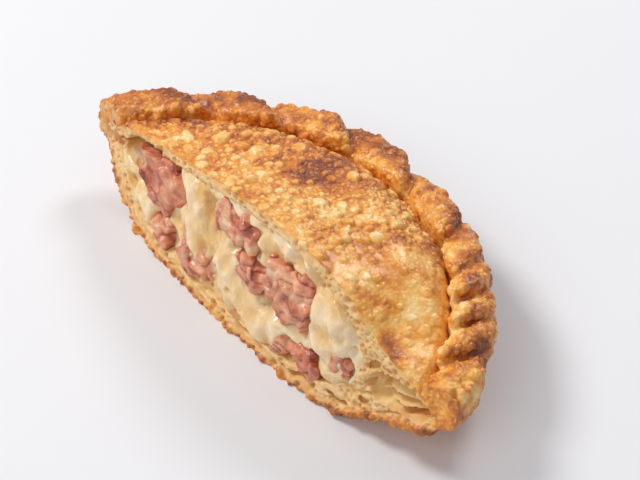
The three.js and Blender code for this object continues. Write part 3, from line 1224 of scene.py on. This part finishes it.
def makeCheese():
    body = pocketTool(-0.7, True)
    body.name = "meltedCheese"
    carve(body, knifeTool(0.7))
    carve(body, cutOvals([cheese["hollow"]])[0])
    remesh(body, cheese["voxel"], 4)
    points = readPoints(body)
    normals = readNormals(body)
    face = smoothStep(-normals[:, 1], 0.1, 0.5) * smoothStep(4 - behindCut(points), 0, 2)
    sideways, upward = softNoise(points, 4.5, 301), softNoise(points, 4.5, 302)
    bent = points + np.stack([sideways, np.zeros(len(points)), upward], 1) * 1.3
    forward = np.zeros(len(points))
    for x, z, halfWidth, halfHeight, stand, stray in cheese["flows"]:
        flow = stand * ovalField(bent, x, z, halfWidth, halfHeight, stray) ** 0.55
        forward = np.maximum(forward, flow)
    back = np.zeros(len(points))
    for x, z, width, tall in hamPlaces:
        back = np.maximum(back, ovalField(bent, x, z, width * 0.5, tall * 0.52) ** 0.5)
    drips = softNoise(bent * np.array([1.0, 1.0, 0.3]), 2.1, 303)
    lumps = 0.55 * softNoise(points, 5.5, 311) + 0.36 * softNoise(points, 2.3, 312) + 0.4 * drips
    push = lumps + forward - cheese["hamRecess"] * back * (forward < 0.3)
    points[:, 1] -= push * face
    points += normals * (0.1 * softNoise(points, 1.1, 313) * face)[:, None]
    low = smoothStep(9 - points[:, 2], 0, 6)
    exposed = face * (0.3 + 0.7 * low) * np.where(forward < 0.4, 1, 0.12)
    holes = scatterSpots(points, exposed, cheese["holes"], cheese["holeRadii"], 1.3, 341)
    height, dome = spotFields(points, holes, 342)[:2]
    points[:, 1] += height * cheese["holeDepth"] * face
    writePoints(body, points)
    applied(body, "SMOOTH", factor=0.5, iterations=3)
    # Deeper yellow is partly the cheese's own tone and partly painted shade: in the holes, between the
    # bulges, low down and in the hollow at the thin end. The bulges and the flow at the right are painted
    # paler, as painted light.
    toneShadeAndLight = 0.38 + 0.3 * layeredNoise(points, 6, 351) - 0.35 * lumps + 0.6 * dome
    inHollow = smoothStep(-points[:, 0], 34, 38) * smoothStep(points[:, 2], 12, 15)
    toneShadeAndLight += 0.2 * smoothStep(11 - points[:, 2], 0, 8) + 0.5 * inHollow
    toneShadeAndLight -= 0.14 * ovalField(points, 29, 15, 9, 9) ** 0.5
    paint(body, "hollow", toneShadeAndLight)
    return body


# The ham, each piece a knot of torn lumps
ham = {
    "voxel": 0.3,
    "lumpSize": 5.6,
    "proud": 1.1,
    "underCrust": 2.7,
    # From pale fat to dark red. The dark end also serves as painted shade in clefts.
    "tones": [
        (0.0, colour(246, 206, 164)),
        (0.3, colour(230, 160, 122)),
        (0.62, colour(204, 116, 84)),
        (1.0, colour(150, 60, 36)),
    ],
    "shade": 0.41,
    "glow": 0.25,
    "glowColour": (1.0, 0.4, 0.25),
    "glowDepth": 1.4,
    "coat": 0.4,
    "coatRoughness": 0.16,
}


def ballAt(name, middle, size):
    unpick()
    place, scale = Vector(middle) * mm, Vector(size) * mm
    bpy.ops.mesh.primitive_uv_sphere_add(
        segments=24, ring_count=16, radius=0.5, location=place, scale=scale
    )
    ball = newest(name)
    settleOrigin(ball)
    return ball


def chunk(size):
    unpick()
    bpy.ops.mesh.primitive_cube_add(size=1, location=(0, 0, 0), scale=Vector(size) * mm * 0.84)
    block = newest("chunk")
    settleOrigin(block)
    bpy.ops.object.mode_set(mode="EDIT")
    bpy.ops.mesh.select_all(action="SELECT")
    bpy.ops.mesh.bevel(offset=min(size) * 0.17 * mm, segments=3, affect="EDGES")
    bpy.ops.object.mode_set(mode="OBJECT")
    return block


def hamMaterial():
    material, tree, shader, place = newMaterial("cookedHam")
    grain = placeGroup(tree, grainGroup, Vector=place, Size=800.0)
    stretch = addNode(tree, "ShaderNodeMapping")
    stretch.inputs["Scale"].default_value = (1.0, 0.5, 2.4)
    stretch.inputs["Rotation"].default_value = (0.3, 0.5, 0.2)
    link(tree, place, stretch.inputs["Vector"])
    fibre = noiseNode(tree, stretch.outputs[0], 620.0, 4, 0.65, 0.6)
    mottle = noiseNode(tree, place, 260.0, 2, 0.5, 0.4)
    # The ham's own tone, with painted shade in clefts and creases and painted light on raised parts.
    tone = mathNode(tree, "ADD", attribute(tree, "cleftShadeAndTone"), centred(tree, mottle, 1.1))
    tone = mathNode(tree, "ADD", tone, centred(tree, fibre, 0.7), clamp=True)
    link(tree, ramp(tree, tone, ham["tones"]), shader.inputs["Base Color"])
    rough = mathNode(tree, "ADD", mathNode(tree, "MULTIPLY", grain.outputs["Mottle"], 0.4), 0.16)
    link(tree, rough, shader.inputs["Roughness"])
    lightAndCoat(shader, ham)
    fine = mathNode(tree, "MULTIPLY", grain.outputs["Height"], 0.5)
    bumped(tree, shader, mathNode(tree, "ADD", fibre, fine), 0.7, 0.4)
    return material


def hamLumps(number, draw):
    x, z, width, tall = hamPlaces[number - 1]
    front = float(cutLine(x, z)) - 0.1
    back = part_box(f"ham_{number}")[1][1] / mm - pie["chord"][1] - 0.5
    parts = [ballAt("core", (x, (front + back) / 2, z), (width * 0.94, back - front, tall * 0.9))]
    parts.append(ballAt("front", (x, front + 4.2, z), (width * 0.92, 7.2, tall * 0.9)))
    count = max(5, round(width * tall / ham["lumpSize"] ** 2 * 2.8))
    for index in range(count):
        angle = index * 2.4 + draw.random()
        out = math.sqrt((index + 0.5) / count)
        lumpX = x + math.cos(angle) * out * width * 0.42
        lumpZ = z + math.sin(angle) * out * tall * 0.4
        size = min(ham["lumpSize"], tall * 0.7) * (0.7 + 0.6 * draw.random())
        lump = chunk((size * (1.0 + 0.7 * draw.random()), size, size * (0.7 + 0.3 * draw.random())))
        tilt = Matrix.Rotation(draw.random() * 3.1, 4, "Y")
        tilt = tilt @ Matrix.Rotation(1.4 * draw.random() - 0.7, 4, "X")
        edge = 1.6 * max(out - 0.6, 0)
        y = float(cutLine(lumpX, lumpZ)) + size * 0.45 + edge - ham["proud"] * (0.1 + 1.2 * draw.random())
        lump.data.transform(Matrix.Translation(Vector((lumpX, y, lumpZ)) * mm) @ tilt)
        parts.append(lump)
    return parts


def makeHam(number):
    seed = 400 + 10 * number
    piece = fuse(hamLumps(number, np.random.default_rng(seed)))
    piece.name = f"hamPiece{number}"
    remesh(piece, ham["voxel"], 1)
    sharp = readPoints(piece)
    normals = readNormals(piece)
    applied(piece, "SMOOTH", factor=0.5, iterations=8)
    points = readPoints(piece)
    crease = np.clip(((points - sharp) * normals).sum(1) / 0.35, 0, 1)  # smoothing fills the creases
    points = sharp
    fibre = np.abs(softNoise(points * np.array([1.0, 1.0, 1.5]), 4.2, seed + 1))
    clefts = np.exp(-fibre / 0.09)
    rough = np.abs(softNoise(points, 1.5, seed + 5))
    lift = 0.16 * softNoise(points, 2.6, seed + 3) - 0.45 * clefts + 0.14 * (rough - 0.4)
    points += normals * lift[:, None]
    ceiling = skinHeight(points, topHeight) - ham["underCrust"]
    points[:, 2] = np.minimum(points[:, 2], ceiling)
    writePoints(piece, points)
    # Painted shade: darker in the clefts and in the creases that smoothing fills. Raised parts are painted
    # lighter, as painted light. The rest is the ham's own mottle.
    shade = ham["shade"] + 0.4 * clefts + 0.3 * layeredNoise(points, 4, seed + 4) - 0.3 * lift
    paint(piece, "cleftShadeAndTone", shade + 0.5 * crease)
    return piece


cheeseLook = cheeseMaterial()
hamLook = hamMaterial()
finishPiece(makeCheese(), ["cheese"], cheeseLook)
for hamNumber in range(1, len(hamPlaces) + 1):
    finishPiece(makeHam(hamNumber), [f"ham_{hamNumber}"], hamLook)


# The table, the light and the camera
studio = {
    "table": colour(236, 236, 238),
    "tableMottle": colour(231, 231, 234),
    "azimuth": 52.08,
    "elevation": 41.73,
    "distance": 0.453,
    "lens": 118.0,
    "aim": (-0.0003, -0.0005, 0.011),
    "worldColour": (0.93, 0.95, 1.0, 1),
    "worldStrength": 0.34,
    "lights": [
        {"name": "keyLight", "at": (-62, 50, 0.9), "size": 0.3, "power": 4.6, "tint": (1.0, 0.985, 0.96)},
        {"name": "frontLight", "at": (20, 40, 1.0), "size": 0.7, "power": 2.0, "tint": (1, 1, 1)},
        {"name": "backLight", "at": (205, 42, 1.0), "size": 0.3, "power": 3.0, "tint": (1, 1, 1)},
    ],
}


# Azimuth 0 is in front of the cut, and 90 is at its +X end.
def direction(azimuth, elevation):
    turn, lift = math.radians(azimuth), math.radians(elevation)
    return Vector((math.sin(turn) * math.cos(lift), -math.cos(turn) * math.cos(lift), math.sin(lift)))


def makeTable():
    unpick()
    bpy.ops.mesh.primitive_plane_add(size=6)
    table = newest("table")
    material, tree, shader, place = newMaterial("paleTable")
    faint = noiseNode(tree, place, 3.0)
    mottled = mixColour(tree, faint, studio["table"], studio["tableMottle"])
    link(tree, mottled, shader.inputs["Base Color"])
    shader.inputs["Roughness"].default_value = 0.6
    table.data.materials.append(material)


def areaLight(light):
    data = bpy.data.lights.new(light["name"], "AREA")
    data.shape = "DISK"
    data.size = light["size"]
    data.energy = light["power"]
    data.color = light["tint"]
    lamp = bpy.data.objects.new(light["name"], data)
    bpy.context.scene.collection.objects.link(lamp)
    azimuth, elevation, distance = light["at"]
    lamp.location = direction(azimuth, elevation) * distance
    lamp.rotation_euler = (-lamp.location).to_track_quat("-Z", "Y").to_euler()


def makeStudio():
    makeTable()
    for light in studio["lights"]:
        areaLight(light)
    world = bpy.data.worlds.new("studio")
    world.use_nodes = True
    background = world.node_tree.nodes["Background"]
    background.inputs["Color"].default_value = studio["worldColour"]
    background.inputs["Strength"].default_value = studio["worldStrength"]
    bpy.context.scene.world = world
    bpy.context.scene.view_settings.view_transform = "Standard"
    bpy.context.scene.view_settings.look = "None"


def makeCamera():
    data = bpy.data.cameras.new("camera")
    data.lens = studio["lens"]
    data.sensor_width = 36
    data.clip_start = 0.01
    camera = bpy.data.objects.new("camera", data)
    bpy.context.scene.collection.objects.link(camera)
    away = direction(studio["azimuth"], studio["elevation"])
    camera.location = Vector(studio["aim"]) + away * studio["distance"]
    camera.rotation_euler = (-away).to_track_quat("-Z", "Y").to_euler()
    bpy.context.scene.camera = camera


makeStudio()
makeCamera()
print("studio ready")
